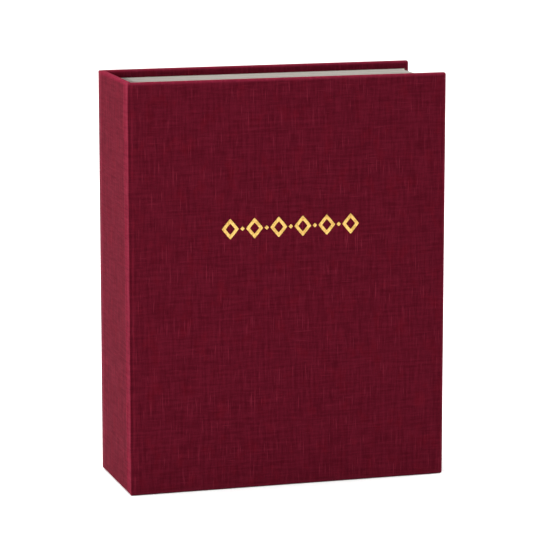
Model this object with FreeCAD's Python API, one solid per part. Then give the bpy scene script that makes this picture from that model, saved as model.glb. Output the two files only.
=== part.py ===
import FreeCAD, Part
import os

# A slip-in photograph album: a hard case of two covers and a flat spine in book cloth, round a block
# of pocket leaves. It stands closed on its tail. Millimetres, +Z up to the head, spine at -X,
# fore-edge at +X, front cover towards -Y. The origin is the middle of the footprint.

# --- overall sizes of the closed album ---
CASE_HEIGHT = 228.0
CASE_WIDTH = 182.0
CASE_THICKNESS = 68.0

# --- case: boards, cloth, papers ---
BOARD = 3.0  # greyboard of the covers
SPINE_BOARD = 3.0
SPINE_SIDE_GAP = 0.25  # from the spine board's long edges to the planes of the pastedowns
CLOTH = 0.5
TURN_IN = 15.0  # how far the cloth is folded over onto a board's inner face
JOINT_STEP = 2.0  # from the spine's outer face to the start of a cover board
JOINT_DIP = 0.3  # how deep the joint's crease lies below the cover's face
JOINT_ROUND = 1.8  # size of the soft corner where the joint's cloth leaves the spine's plane
JOINT_END_GAP = 0.5  # the joint's cloth stays this much above the tail and below the head
PASTEDOWN = 0.25
PASTEDOWN_INSET = 5.0  # margin of cloth left showing round a pastedown
LINING = 0.5  # paper on the spine board, between its two turn-ins

# --- foil ornament: a row of open lozenges with small solid ones between them ---
FOIL = 0.1
FOIL_RECESS = 0.15  # depth the hot die presses into the cloth
LOZENGE_COUNT = 6
LOZENGE_PITCH = 13.8
LOZENGE_WIDTH = 9.6
LOZENGE_HEIGHT = 11.4
LOZENGE_STROKE = 1.7  # measured square to the sides
DOT_SIZE = 2.4  # across the small lozenges, point to point
ORNAMENT_DROP = 82.0  # from the head down to the ornament's middle

# --- leaf block ---
LEAF_COUNT = 40
HEAD_SQUARE = 4.5  # covers stand this far past the leaves at head and tail
FORE_SQUARE = 3.0  # and this far at the fore-edge
GLUE = 1.0
GUARD_WIDTH = 6.0  # spacer strips glued between the leaves' bound tabs
TAB = 0.2  # thickness of a leaf's tab and of its flexible fold
TAB_CLEARANCE = 0.05  # between a tab and the guard strips on either side
FOLD_START = 0.1  # a leaf starts this far outside its fold line, clear of its tab
FOLD_WIDTH = 4.0  # thin strip next to the fold line, before the stiff card starts
CARD = 0.5
FILM = 0.15  # clear pocket film, one on each side of the card
POCKET_START = 8.5  # from the fold line to the pockets' open side
WELD_MARGIN = 2.5  # card left round and between the pockets
POCKET_ROWS = 2
FLYLEAF = 0.3
FLYLEAF_GAP = 0.3  # to the pastedown
FLYLEAF_SETBACK = 1.0  # a flyleaf folds this much nearer the spine than the leaves do
BLOCK_GAP = 0.15  # between a flyleaf and the leaf block

# --- planes worked out from the sizes above ---
SPINE_FACE = -CASE_WIDTH / 2
FORE_EDGE = CASE_WIDTH / 2
COVER_FACE = CASE_THICKNESS / 2  # distance of each cover's outer face from the middle plane
BOARD_TAIL = CLOTH
BOARD_HEAD = CASE_HEIGHT - CLOTH
SPINE_INSIDE = SPINE_FACE + CLOTH + SPINE_BOARD  # inner face of the spine board
COVER_START = SPINE_FACE + JOINT_STEP  # edge of a cover board, next to the joint
BOARD_OUTSIDE = COVER_FACE - CLOTH
BOARD_INSIDE = BOARD_OUTSIDE - BOARD
TURN_IN_FACE = BOARD_INSIDE - CLOTH
PASTEDOWN_FACE = TURN_IN_FACE - PASTEDOWN
SPINE_SIDE = PASTEDOWN_FACE - SPINE_SIDE_GAP  # half the width of the spine board
FLYLEAF_OUTSIDE = PASTEDOWN_FACE - FLYLEAF_GAP
FLYLEAF_INSIDE = FLYLEAF_OUTSIDE - FLYLEAF
BLOCK_FACE = FLYLEAF_INSIDE - BLOCK_GAP
LEAF_PITCH = 2 * BLOCK_FACE / LEAF_COUNT
GLUE_START = SPINE_INSIDE + LINING
GUARD_START = GLUE_START + GLUE
GUARD_END = GUARD_START + GUARD_WIDTH
FOLD_LINE = GUARD_END + FOLD_START
LEAF_FORE_EDGE = FORE_EDGE - FORE_SQUARE
LEAF_TAIL = HEAD_SQUARE
LEAF_HEAD = CASE_HEIGHT - HEAD_SQUARE
POCKET_HEIGHT = (LEAF_HEAD - LEAF_TAIL - (POCKET_ROWS + 1) * WELD_MARGIN) / POCKET_ROWS

FRONT = -1
BACK = 1


def box(x, y, z):
    """A block between two X values, two Y values and two Z values, each pair in either order."""
    low = [min(pair) for pair in (x, y, z)]
    size = [abs(pair[1] - pair[0]) for pair in (x, y, z)]
    return Part.makeBox(*size, FreeCAD.Vector(*low))


def lozenge(centre_x, centre_z, width, height, y):
    """An upright lozenge plate between two Y values."""
    points = [
        FreeCAD.Vector(centre_x - width / 2, y[0], centre_z),
        FreeCAD.Vector(centre_x, y[0], centre_z - height / 2),
        FreeCAD.Vector(centre_x + width / 2, y[0], centre_z),
        FreeCAD.Vector(centre_x, y[0], centre_z + height / 2),
    ]
    outline = Part.makePolygon(points + points[:1])
    return Part.Face(outline).extrude(FreeCAD.Vector(0, y[1] - y[0], 0))


def save(name, shape):
    shape.exportStep(f"parts/{name}.step")


def ornament_plates(y):
    """The lozenges and dots as plates between two Y values, centred across the front cover."""
    middle_x = (COVER_START + FORE_EDGE) / 2
    middle_z = CASE_HEIGHT - ORNAMENT_DROP
    side = (LOZENGE_WIDTH**2 + LOZENGE_HEIGHT**2) ** 0.5
    # A stroke of even width takes the same share off both diagonals of the inner lozenge.
    inner_share = 1 - 2 * LOZENGE_STROKE * side / (LOZENGE_WIDTH * LOZENGE_HEIGHT)
    plates = []
    for i in range(LOZENGE_COUNT):
        x = middle_x + (i - (LOZENGE_COUNT - 1) / 2) * LOZENGE_PITCH
        outer = lozenge(x, middle_z, LOZENGE_WIDTH, LOZENGE_HEIGHT, y)
        inner = lozenge(x, middle_z, LOZENGE_WIDTH * inner_share, LOZENGE_HEIGHT * inner_share, y)
        plates.append(outer.cut(inner))
        if i:
            plates.append(lozenge(x - LOZENGE_PITCH / 2, middle_z, DOT_SIZE, DOT_SIZE, y))
    return plates


def cover_board(side):
    return box(
        (COVER_START, FORE_EDGE - CLOTH),
        (side * BOARD_INSIDE, side * BOARD_OUTSIDE),
        (BOARD_TAIL, BOARD_HEAD),
    )


def cover_cloth(side):
    """Cloth round a cover board's three free edges, folded over onto its inner face."""
    skin = box(
        (COVER_START, FORE_EDGE), (side * TURN_IN_FACE, side * COVER_FACE), (0, CASE_HEIGHT)
    )
    window = box(
        (COVER_START, FORE_EDGE - TURN_IN),
        (side * TURN_IN_FACE, side * BOARD_INSIDE),
        (TURN_IN, CASE_HEIGHT - TURN_IN),
    )
    return skin.cut(cover_board(side)).cut(window)


def pastedown(side):
    """Paper that fills the window between the turn-ins and laps over them."""
    fill = box(
        (COVER_START, FORE_EDGE - TURN_IN),
        (side * PASTEDOWN_FACE, side * BOARD_INSIDE),
        (TURN_IN, CASE_HEIGHT - TURN_IN),
    )
    lap = box(
        (COVER_START, FORE_EDGE - PASTEDOWN_INSET),
        (side * PASTEDOWN_FACE, side * TURN_IN_FACE),
        (PASTEDOWN_INSET, CASE_HEIGHT - PASTEDOWN_INSET),
    )
    return fill.fuse(lap).removeSplitter()


def joint_cloth(side):
    """Cloth that runs round the corner from the spine board's edge to the cover board's edge."""
    outer = [
        (SPINE_FACE, SPINE_SIDE),
        (SPINE_FACE, COVER_FACE - JOINT_ROUND),
        (SPINE_FACE + JOINT_ROUND / 3, COVER_FACE - JOINT_ROUND / 3),
        (COVER_START, COVER_FACE - JOINT_DIP),
    ]
    inward = [(1, 0), (1, -0.4), (0.7, -0.8), (0, -1)]
    inner = [(x + CLOTH * dx, y + CLOTH * dy) for (x, y), (dx, dy) in zip(outer, inward)]
    outline = [
        FreeCAD.Vector(x, side * y, JOINT_END_GAP) for x, y in outer + inner[::-1] + outer[:1]
    ]
    height = CASE_HEIGHT - 2 * JOINT_END_GAP
    return Part.Face(Part.makePolygon(outline)).extrude(FreeCAD.Vector(0, 0, height))


def spine_board():
    return box(
        (SPINE_FACE + CLOTH, SPINE_INSIDE), (-SPINE_SIDE, SPINE_SIDE), (BOARD_TAIL, BOARD_HEAD)
    )


def spine_cloth():
    """Cloth on the spine board's outer face and round its ends, turned in at head and tail."""
    skin = box((SPINE_FACE, GLUE_START), (-SPINE_SIDE, SPINE_SIDE), (0, CASE_HEIGHT))
    window = box(
        (SPINE_INSIDE, GLUE_START),
        (-SPINE_SIDE, SPINE_SIDE),
        (TURN_IN, CASE_HEIGHT - TURN_IN),
    )
    return skin.cut(spine_board()).cut(window)


def spine_lining():
    return box(
        (SPINE_INSIDE, GLUE_START),
        (-SPINE_SIDE, SPINE_SIDE),
        (TURN_IN, CASE_HEIGHT - TURN_IN),
    )


def leaf_middle(index):
    """Y of a leaf's middle plane. Leaf 0 lies next to the front cover."""
    return -BLOCK_FACE + (index + 0.5) * LEAF_PITCH


def leaf_tabs():
    """The bound edges of the leaves, held between the guard strips."""
    return [
        box(
            (GUARD_START, GUARD_END),
            (leaf_middle(i) - TAB / 2, leaf_middle(i) + TAB / 2),
            (LEAF_TAIL, LEAF_HEAD),
        )
        for i in range(LEAF_COUNT)
    ]


def guard_strips():
    """Spacers between the tabs, with a half strip outside the first and the last."""
    edges = [-BLOCK_FACE]
    for i in range(LEAF_COUNT):
        edges += [
            leaf_middle(i) - TAB / 2 - TAB_CLEARANCE,
            leaf_middle(i) + TAB / 2 + TAB_CLEARANCE,
        ]
    edges.append(BLOCK_FACE)
    return [
        box((GUARD_START, GUARD_END), (low, high), (LEAF_TAIL, LEAF_HEAD))
        for low, high in zip(edges[::2], edges[1::2])
    ]


def binding_glue():
    return box(
        (GLUE_START, GUARD_START), (-BLOCK_FACE, BLOCK_FACE), (LEAF_TAIL, LEAF_HEAD)
    )


def leaf(index):
    """One pocket leaf: a card with a thin fold strip, and two clear pockets on each side."""
    middle = leaf_middle(index)
    fold = box(
        (FOLD_LINE + FOLD_START, FOLD_LINE + FOLD_WIDTH),
        (middle - TAB / 2, middle + TAB / 2),
        (LEAF_TAIL, LEAF_HEAD),
    )
    stiff = box(
        (FOLD_LINE + FOLD_WIDTH, LEAF_FORE_EDGE),
        (middle - CARD / 2, middle + CARD / 2),
        (LEAF_TAIL, LEAF_HEAD),
    )
    solids = [fold.fuse(stiff)]
    for side in (FRONT, BACK):
        for row in range(POCKET_ROWS):
            z = LEAF_TAIL + WELD_MARGIN + row * (POCKET_HEIGHT + WELD_MARGIN)
            solids.append(
                box(
                    (FOLD_LINE + POCKET_START, LEAF_FORE_EDGE - WELD_MARGIN),
                    (middle + side * CARD / 2, middle + side * (CARD / 2 + FILM)),
                    (z, z + POCKET_HEIGHT),
                )
            )
    return solids


def flyleaf(side):
    return box(
        (FOLD_LINE - FLYLEAF_SETBACK + FOLD_START, LEAF_FORE_EDGE),
        (side * FLYLEAF_INSIDE, side * FLYLEAF_OUTSIDE),
        (LEAF_TAIL, LEAF_HEAD),
    )


os.makedirs("parts", exist_ok=True)

foil_depth = (-COVER_FACE + FOIL_RECESS - FOIL, -COVER_FACE + FOIL_RECESS)
recess_depth = (-COVER_FACE - CLOTH, -COVER_FACE + FOIL_RECESS)
save("foil_ornament", Part.makeCompound(ornament_plates(foil_depth)))
save("front_cover_cloth", cover_cloth(FRONT).cut(Part.makeCompound(ornament_plates(recess_depth))))
save("back_cover_cloth", cover_cloth(BACK))
for name, side in (("front", FRONT), ("back", BACK)):
    save(f"{name}_board", cover_board(side))
    save(f"{name}_pastedown", pastedown(side))
    save(f"{name}_joint_cloth", joint_cloth(side))
    save(f"{name}_flyleaf", flyleaf(side))

save("spine_board", spine_board())
save("spine_cloth", spine_cloth())
save("spine_lining", spine_lining())
save("binding_glue", binding_glue())
save("leaf_tabs", Part.makeCompound(leaf_tabs()))
save("guard_strips", Part.makeCompound(guard_strips()))
for i in range(LEAF_COUNT):
    save(f"leaf_{i + 1:02d}", Part.makeCompound(leaf(i)))

print(f"leaf pitch {LEAF_PITCH:.3f}, pocket height {POCKET_HEIGHT:.1f}")
print(f"cover starts at x {COVER_START:.2f}, leaves fold at x {FOLD_LINE:.2f}")
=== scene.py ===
# %% [markdown]
# # A slip-in picture album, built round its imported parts
#
# The album is a hard case of two covers and a flat spine, covered in book cloth, round a block of
# forty pocket leaves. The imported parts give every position. This lesson builds what the eye sees on
# top of them: the cloth, the papers, the leaves, the gold, the floor and the light.

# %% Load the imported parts
import math

import bmesh
import bpy
import numpy as np
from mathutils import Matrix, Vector


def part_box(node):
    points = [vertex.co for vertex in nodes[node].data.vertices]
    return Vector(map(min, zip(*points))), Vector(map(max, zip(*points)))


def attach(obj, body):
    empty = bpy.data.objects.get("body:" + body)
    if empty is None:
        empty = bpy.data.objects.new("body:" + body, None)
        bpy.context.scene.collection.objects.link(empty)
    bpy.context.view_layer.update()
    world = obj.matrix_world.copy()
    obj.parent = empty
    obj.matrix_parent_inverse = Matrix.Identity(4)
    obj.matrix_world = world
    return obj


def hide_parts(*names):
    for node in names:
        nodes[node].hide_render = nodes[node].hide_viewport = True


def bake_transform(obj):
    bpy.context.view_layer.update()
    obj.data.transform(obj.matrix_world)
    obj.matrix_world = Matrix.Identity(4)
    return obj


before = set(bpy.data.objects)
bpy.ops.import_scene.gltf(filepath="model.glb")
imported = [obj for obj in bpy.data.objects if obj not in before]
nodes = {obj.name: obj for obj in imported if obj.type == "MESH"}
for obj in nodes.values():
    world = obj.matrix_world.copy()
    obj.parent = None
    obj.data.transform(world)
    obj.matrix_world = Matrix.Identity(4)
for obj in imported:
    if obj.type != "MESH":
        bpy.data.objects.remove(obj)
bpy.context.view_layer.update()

# %% [markdown]
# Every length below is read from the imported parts, so the looks follow the parts if those change.
# One millimetre is written MM, because the scene is in metres.

# %% Planes of the case
MM = 0.001
FRONT, BACK = -1, 1

spine_low, spine_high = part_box("spine_cloth")
cover_low, cover_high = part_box("back_cover_cloth")
leaf_low, leaf_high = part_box("leaf_01")
HEIGHT = cover_high.z
COVER_FACE = cover_high.y
COVER_DEPTH = cover_high.y - cover_low.y
FORE_EDGE = cover_high.x
COVER_START = cover_low.x
SPINE_FACE = spine_low.x
SPINE_DEPTH = spine_high.x - spine_low.x
SPINE_SIDE = spine_high.y
LEAF_TAIL, LEAF_HEAD = leaf_low.z, leaf_high.z
print("height", round(HEIGHT, 4), "cover depth", round(COVER_DEPTH, 4))

# %% [markdown]
# Cloth, card and film are all thin sheets, and each is drawn here as a grid of points: one
# parameter runs along the rows and one along the columns. A grid is kept as one numpy array, so a
# whole sheet is worked out at once. These helpers turn grids into meshes.

# %% Helpers: grids into meshes
SAME_POINT = 0.002 * MM
SHARP_ANGLE = math.radians(42)


def quads(rows, columns, first=0):
    """Corner numbers of a grid's quads: each point, its right, its upper right, its upper."""
    index = first + np.arange(rows * columns).reshape(rows, columns)
    corners = [index[:-1, :-1], index[:-1, 1:], index[1:, 1:], index[1:, :-1]]
    return np.stack(corners, axis=-1).reshape(-1, 4)


def shell(outer, inner, round_about=False):
    """Points and quads of a closed sheet: the outer grid, the inner one reversed, and a rim.

    round_about is for a grid whose last column lies on its first, such as a ring.
    """
    rows, columns = outer.shape[:2]
    count = rows * columns
    index = np.arange(count).reshape(rows, columns)
    ring = np.concatenate([index[0, :], index[1:, -1], index[-1, -2::-1], index[-2:0:-1, 0]])
    ahead = np.roll(ring, -1)
    if round_about:
        ring = np.concatenate([index[0, :-1], index[-1, :0:-1]])
        ahead = np.concatenate([index[0, 1:], index[-1, -2::-1]])
    rim = np.stack([ahead, ring, ring + count, ahead + count], axis=-1)
    points = np.concatenate([outer.reshape(-1, 3), inner.reshape(-1, 3)])
    faces = np.concatenate([quads(rows, columns), quads(rows, columns, count)[:, ::-1], rim])
    return points, faces


def piece_from(name, parts, recalculated=True):
    """One object from (points, quads, sheet coordinates or None, material number) parts.

    Doubled points are merged, and the normals are worked out again unless recalculated is False.
    """
    points = np.concatenate([p[0] for p in parts])
    starts = np.cumsum([0] + [len(p[0]) for p in parts])
    faces = np.concatenate([p[1] + start for p, start in zip(parts, starts)])
    mesh = bpy.data.meshes.new(name)
    mesh.from_pydata(points.tolist(), [], faces.tolist())
    numbers = np.concatenate([np.full(len(p[1]), p[3], np.int32) for p in parts])
    mesh.polygons.foreach_set("material_index", numbers)
    if parts[0][2] is not None:
        flat = np.concatenate([p[2] for p in parts])
        corner = np.empty(len(mesh.loops), np.int32)
        mesh.loops.foreach_get("vertex_index", corner)
        mesh.uv_layers.new(name="cloth").data.foreach_set("uv", flat[corner].ravel())
    work = bmesh.new()
    work.from_mesh(mesh)
    bmesh.ops.remove_doubles(work, verts=work.verts, dist=SAME_POINT)
    if recalculated:
        bmesh.ops.recalc_face_normals(work, faces=work.faces)
    work.to_mesh(mesh)
    work.free()
    mesh.polygons.foreach_set("use_smooth", np.ones(len(mesh.polygons), bool))
    mesh.set_sharp_from_angle(angle=SHARP_ANGLE)
    piece = bpy.data.objects.new(name, mesh)
    bpy.context.scene.collection.objects.link(piece)
    return piece


def steps(*stops):
    """Positions from (stop, number of steps to the next) pairs, evenly spaced between stops."""
    runs = [
        np.linspace(stops[i][0], stops[i + 1][0], stops[i][1], endpoint=False)
        for i in range(len(stops) - 1)
    ]
    return np.concatenate(runs + [[stops[-1][0]]])


def smooth_step(x, low, high):
    """0 below low, 1 above high, and between them three t squared less two t cubed."""
    t = np.clip((x - low) / (high - low), 0, 1)
    return t * t * (3 - 2 * t)


# %% [markdown]
# The camera stands a long way off with a long lens, a little above the album and to the left of
# its front cover. Its place is measured in album heights, from the foot of the front cover's spine
# corner, and it looks along a fixed direction, so it keeps its view if the album's size changes.

# %% Camera
CAMERA_PLACE = Vector((-1.642, -6.736, 1.798))
CAMERA_AZIMUTH, CAMERA_ELEVATION = math.radians(-16.58), math.radians(10.28)
SENSOR_WIDTH = 36
LENS_PER_SENSOR = 5.385455

corner = Vector((SPINE_FACE, -COVER_FACE, 0))
camera_data = bpy.data.cameras.new("camera")
camera = bpy.data.objects.new("camera", camera_data)
bpy.context.scene.collection.objects.link(camera)
camera.location = corner + CAMERA_PLACE * HEIGHT
toward_camera = Vector(
    (
        math.sin(CAMERA_AZIMUTH) * math.cos(CAMERA_ELEVATION),
        -math.cos(CAMERA_AZIMUTH) * math.cos(CAMERA_ELEVATION),
        math.sin(CAMERA_ELEVATION),
    )
)
camera.rotation_mode = "QUATERNION"
camera.rotation_quaternion = (-toward_camera).to_track_quat("-Z", "Y")
camera_data.sensor_width = SENSOR_WIDTH
camera_data.lens = SENSOR_WIDTH * LENS_PER_SENSOR
camera_data.clip_start, camera_data.clip_end = 0.1, 30
bpy.context.scene.camera = camera
print("camera", [round(x, 3) for x in camera.location])

# %% [markdown]
# Book cloth goes round a board like paper round a parcel: flat on the face, over a soft edge, down
# the board's thickness, over a second edge, and 15 mm back along the inner face. Cut across, that
# is one line. It is worked out once as pairs: how far a point lies in from the edge, and how deep
# it lies below the face. The same line, squeezed to two layers of cloth, gives the joint's folded
# ends, where there is no board.

# %% The line of cloth round a board's edge
CLOTH_THICK = 0.42 * MM
TURN_IN = 15 * MM
FACE_MARGIN = 4 * MM
BOARD_EDGE_RADII = (1.9 * MM, 1.5 * MM)
FOLD_DEPTH = 1.7 * MM
FOLD_RADIUS = 0.84 * MM
ARC_POINTS = 8


def edge_line(depth, outer_radius, inner_radius):
    """Pairs (in from the edge, below the face), from the face to the turn-in's raw edge.

    Two quarter circles joined by straight runs: x = r - r sin a, y = r - r cos a, then mirrored.
    """
    a = np.linspace(0, math.pi / 2, ARC_POINTS)
    outer = np.stack([outer_radius * (1 - np.sin(a)), outer_radius * (1 - np.cos(a))], axis=-1)
    inner = np.stack(
        [inner_radius * (1 - np.cos(a)), depth - inner_radius * (1 - np.sin(a))], axis=-1
    )
    face = np.array([[FACE_MARGIN, 0], [(FACE_MARGIN + outer_radius) / 2, 0]])
    wall = np.array([[0, (outer_radius + depth - inner_radius) / 2]])
    back = np.array([[x * MM, depth] for x in (3, 6, 10, 14)] + [[TURN_IN, depth]])
    return np.concatenate([face, outer, wall, inner, back])


def distance_along(points):
    """How far each point of a line lies from its start: the running sum of the runs' lengths."""
    return np.concatenate([[0], np.cumsum(np.linalg.norm(np.diff(points, axis=0), axis=1))])


board_line = edge_line(COVER_DEPTH, *BOARD_EDGE_RADII)
folded_line = edge_line(FOLD_DEPTH, FOLD_RADIUS, FOLD_RADIUS)
line_length = distance_along(board_line)
print("cloth round an edge", round(line_length[-1] / MM, 1), "mm in", len(board_line), "points")

# %% [markdown]
# The gold row of lozenges is pressed into the front cover with a hot die. Its shapes are needed
# twice, for the dents in the cloth and for the foil, so they come first. A lozenge's distance is
# simple: add the two offsets from its middle, each as a share of its half width and half height.

# %% The ornament's lozenges
foil_low, foil_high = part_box("foil_ornament")
LOZENGES = 6
LOZENGE_HALF_HEIGHT = (foil_high.z - foil_low.z) / 2
ORNAMENT_Z = (foil_high.z + foil_low.z) / 2
LOZENGE_HALF_WIDTH = 4.8 * MM
PITCH = (foil_high.x - foil_low.x - 2 * LOZENGE_HALF_WIDTH) / (LOZENGES - 1)
ORNAMENT_X = (foil_high.x + foil_low.x) / 2
STROKE = 1.7 * MM
DOT_HALF = 1.2 * MM
DOT_PRESS = 0.8 * MM
PRESS = 0.13 * MM
PRESS_FADE = 0.7 * MM
lozenge_x = ORNAMENT_X + (np.arange(LOZENGES) - (LOZENGES - 1) / 2) * PITCH
dot_x = (lozenge_x[1:] + lozenge_x[:-1]) / 2
SLANT = LOZENGE_HALF_WIDTH * LOZENGE_HALF_HEIGHT / math.hypot(
    LOZENGE_HALF_WIDTH, LOZENGE_HALF_HEIGHT
)


def press_depth(x, z):
    """How deep the die leaves the face: full inside the strokes and dots, fading outside them.

    The distance from a stroke's centre line is |share - 1| times the lozenge's slant height.
    """
    depth = np.zeros(np.broadcast(x, z).shape)
    for middle in lozenge_x:
        share = np.abs(x - middle) / LOZENGE_HALF_WIDTH
        share = share + np.abs(z - ORNAMENT_Z) / LOZENGE_HALF_HEIGHT
        off = np.abs((share - 1) * SLANT + STROKE / 2)
        depth = np.maximum(depth, 1 - smooth_step(off, STROKE / 2, STROKE / 2 + PRESS_FADE))
    for middle in dot_x:
        off = (np.abs(x - middle) + np.abs(z - ORNAMENT_Z)) / math.sqrt(2)
        depth = np.maximum(depth, 1 - smooth_step(off, DOT_PRESS, DOT_PRESS + PRESS_FADE))
    return PRESS * depth


print("ornament", round((foil_high.x - foil_low.x) / MM, 1), "mm wide, pitch", round(PITCH / MM, 2))

# %% [markdown]
# Each cover's cloth is one sheet: the joint's strip, the face, and a border round the three free
# edges. The border is a picture frame: the edge line is carried along tail, fore-edge and head,
# and each point's path is a rectangle drawn further in by the point's own distance from the edge,
# so the turn-ins meet in mitres at the corners as the real ones do.

# %% The border of a cover's cloth
CORNER_RADIUS = 1.3 * MM
CORNER_STEPS = 8
SHEET_START = COVER_START + 1.6 * MM


def border(share_x, share_z, line):
    """Points of the frame, as (x, z, depth) for each path step and each point of the line.

    A side's points run between mitres: start + (end - start) * share, with both ends moved in by
    the line's distance. At a corner the path turns on a circle of radius CORNER_RADIUS less that
    distance, and on no circle where the line lies further in.
    """
    inset = line[None, :, 0]
    radius = np.maximum(CORNER_RADIUS - inset, 0)
    held = np.maximum(inset, CORNER_RADIUS)
    end_x = FORE_EDGE - held
    low_z, high_z = held, HEIGHT - held
    x = SHEET_START + (end_x - SHEET_START) * share_x[:, None]
    z = low_z + (high_z - low_z) * share_z[:, None]
    a = np.linspace(0, math.pi / 2, CORNER_STEPS + 1)[1:-1, None]
    zero = np.zeros_like(inset)
    rows = [
        np.stack([x, zero + inset + 0 * x], axis=-1),
        np.stack([end_x + radius * np.sin(a), low_z - radius * np.cos(a)], axis=-1),
        np.stack([FORE_EDGE - inset + 0 * z, z], axis=-1),
        np.stack([end_x + radius * np.cos(a), high_z + radius * np.sin(a)], axis=-1),
        np.stack([x[::-1], HEIGHT - inset + 0 * x], axis=-1),
    ]
    flat = np.concatenate(rows)
    depth = np.broadcast_to(line[None, :, 1:2], flat.shape[:2] + (1,))
    return np.concatenate([flat, depth], axis=-1)


def border_sheet(share_x, share_z):
    """Sheet coordinates of the border's points: each side is laid out flat beyond its edge."""
    grid = border(share_x, share_z, board_line)
    half = (CORNER_STEPS - 1) // 2
    tail = len(share_x) + half
    fore = tail + (CORNER_STEPS - 1 - half) + len(share_z) + half
    out = np.broadcast_to(line_length[None, :] - FACE_MARGIN, grid.shape[:2])
    u, v = grid[..., 0].copy(), grid[..., 1].copy()
    v[:tail] = -out[:tail]
    u[tail:fore] = FORE_EDGE + out[tail:fore]
    v[fore:] = HEIGHT + out[fore:]
    return np.stack([u, v], axis=-1).reshape(-1, 2)


print("border rings", len(board_line), "corner steps", CORNER_STEPS)

# %% [markdown]
# The joint is the strip of bare cloth between a cover and the spine. It leaves the cover's face,
# dips into a very shallow groove, turns sharply round the corner, and runs along the spine's plane
# to the edge of the spine board. Its ends are folded back on themselves, a little below the head,
# and that leaves the small notch seen from above. The curve is a list of points, across
# from the spine's face and below the cover's face, with its corners cut.

# %% The joint's curve
JOINT_CORNER = 0.3 * MM
CORNER_DEPTH = 0.6 * MM
FOLD_FROM, FOLD_FULL = 1.2 * MM, 2.1 * MM
UNFOLD_FROM, UNFOLD_END = 2.5 * MM, 0.3 * MM
FOLD_DROP, NOTCH_DROP, NOTCH_REACH = 0.15 * MM, 0.05 * MM, 0.6 * MM

joint_points = np.array(
    [
        [3.6, 0.0], [3.3, 0.0], [3.0, 0.02], [2.7, 0.12], [2.35, 0.24], [1.95, 0.28],
        [1.5, 0.24], [1.05, 0.16], [0.7, 0.12], [0.42, 0.22], [0.3, 0.62], [0.34, 1.6], [0.36, 2.8],
        [0.26, 4.4], [0.12, 6.0], [0.02, 7.0], [0.0, 7.5],
    ]
) * MM
behind_spine = joint_points[-6:, 1]
behind_spine *= (COVER_FACE - SPINE_SIDE) / behind_spine[-1]


def rounded(points, times):
    """Corner cutting: each run keeps its middle half, and the two ends stay where they are."""
    for _ in range(times):
        near = 0.75 * points[:-1] + 0.25 * points[1:]
        far = 0.25 * points[:-1] + 0.75 * points[1:]
        cut = np.stack([near, far], axis=1).reshape(-1, 2)
        points = np.concatenate([points[:1], cut[1:-1], points[-1:]])
    return points


joint_curve = rounded(joint_points, 2)
joint_along = distance_along(joint_curve)
print("joint strip", round(joint_along[-1] / MM, 1), "mm wide in", len(joint_curve), "points")


def wrapped_strip(share_z, depth_share, drop):
    """(z, depth, sheet v) of a strip that is turned in at tail and head, one row per point.

    depth_share 0 gives a board's edge line and 1 the folded one. drop lowers both ends.
    """
    line = board_line + depth_share[:, None, None] * (folded_line - board_line)
    inset = line[..., 0] + drop[:, None]
    middle = FACE_MARGIN + (HEIGHT - 2 * FACE_MARGIN) * share_z[1:-1]
    middle = np.broadcast_to(middle, (len(depth_share), len(middle)))
    z = np.concatenate([inset[:, ::-1], middle, HEIGHT - inset], axis=1)
    depth = np.concatenate([line[:, ::-1, 1], 0 * middle, line[..., 1]], axis=1)
    out = np.broadcast_to(line_length - FACE_MARGIN, inset.shape)
    v = np.concatenate([-out[:, ::-1], middle, HEIGHT + out], axis=1)
    return z, depth, v


def joint_grid(side, share_z):
    """The joint's strip: each point of the curve, carried inwards by its share of the full depth.

    Inside the cover the full depth is straight down, behind the spine it is straight back, and
    round the corner all the inner points meet at one: the larger of each coordinate and the depth.
    The ends are folded flat past FOLD_FULL and until UNFOLD_FROM is left, and drop a little there.
    The rows run from the spine to the cover, so the strip's faces look the same way as the face's.
    """
    left = joint_along[-1] - joint_along
    folded = smooth_step(joint_along, FOLD_FROM, FOLD_FULL)
    folded = folded * smooth_step(left, UNFOLD_END, UNFOLD_FROM)
    notch = np.exp(-(((joint_along - FOLD_FULL) / NOTCH_REACH) ** 2))
    z, depth, v = wrapped_strip(share_z, folded, FOLD_DROP * folded + NOTCH_DROP * notch)
    full = COVER_DEPTH + folded * (FOLD_DEPTH - COVER_DEPTH)
    across, below = joint_curve[:, 0], joint_curve[:, 1]
    within_cover = np.maximum(across, JOINT_CORNER + FOLD_DEPTH)
    inner_x = np.where(below > CORNER_DEPTH, across + full, within_cover)
    inner_y = np.maximum(below, full)
    share = depth / full[:, None]
    x = SPINE_FACE + across[:, None] + share * (inner_x - across)[:, None]
    y = side * (COVER_FACE - below[:, None] - share * (inner_y - below)[:, None])
    grid = np.stack([x, y, z], axis=-1)
    u = np.broadcast_to(SHEET_START - joint_along[:, None], z.shape)
    return grid[::-1], np.stack([u, v], axis=-1)[::-1].reshape(-1, 2)


# %% [markdown]
# Now the sheet can be sewn together: strip, face and border are three grids whose edges share
# their points, so merging doubled points makes one sheet. Solidify then gives it its thickness,
# inwards, so the outer face stays where it was drawn. The front cover's grid is much finer round
# the ornament, where the dents are, than elsewhere.

# %% The two covers' cloth
def give_thickness(sheet, middle, outwards):
    """Turns a sheet so that its face nearest to middle looks outwards, and thickens it inwards."""
    nearest = min(sheet.data.polygons, key=lambda face: (face.center - middle).length)
    if nearest.normal.dot(outwards) < 0:
        sheet.data.flip_normals()
    thick = sheet.modifiers.new("cloth thickness", "SOLIDIFY")
    thick.thickness, thick.offset = CLOTH_THICK, -1


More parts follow.
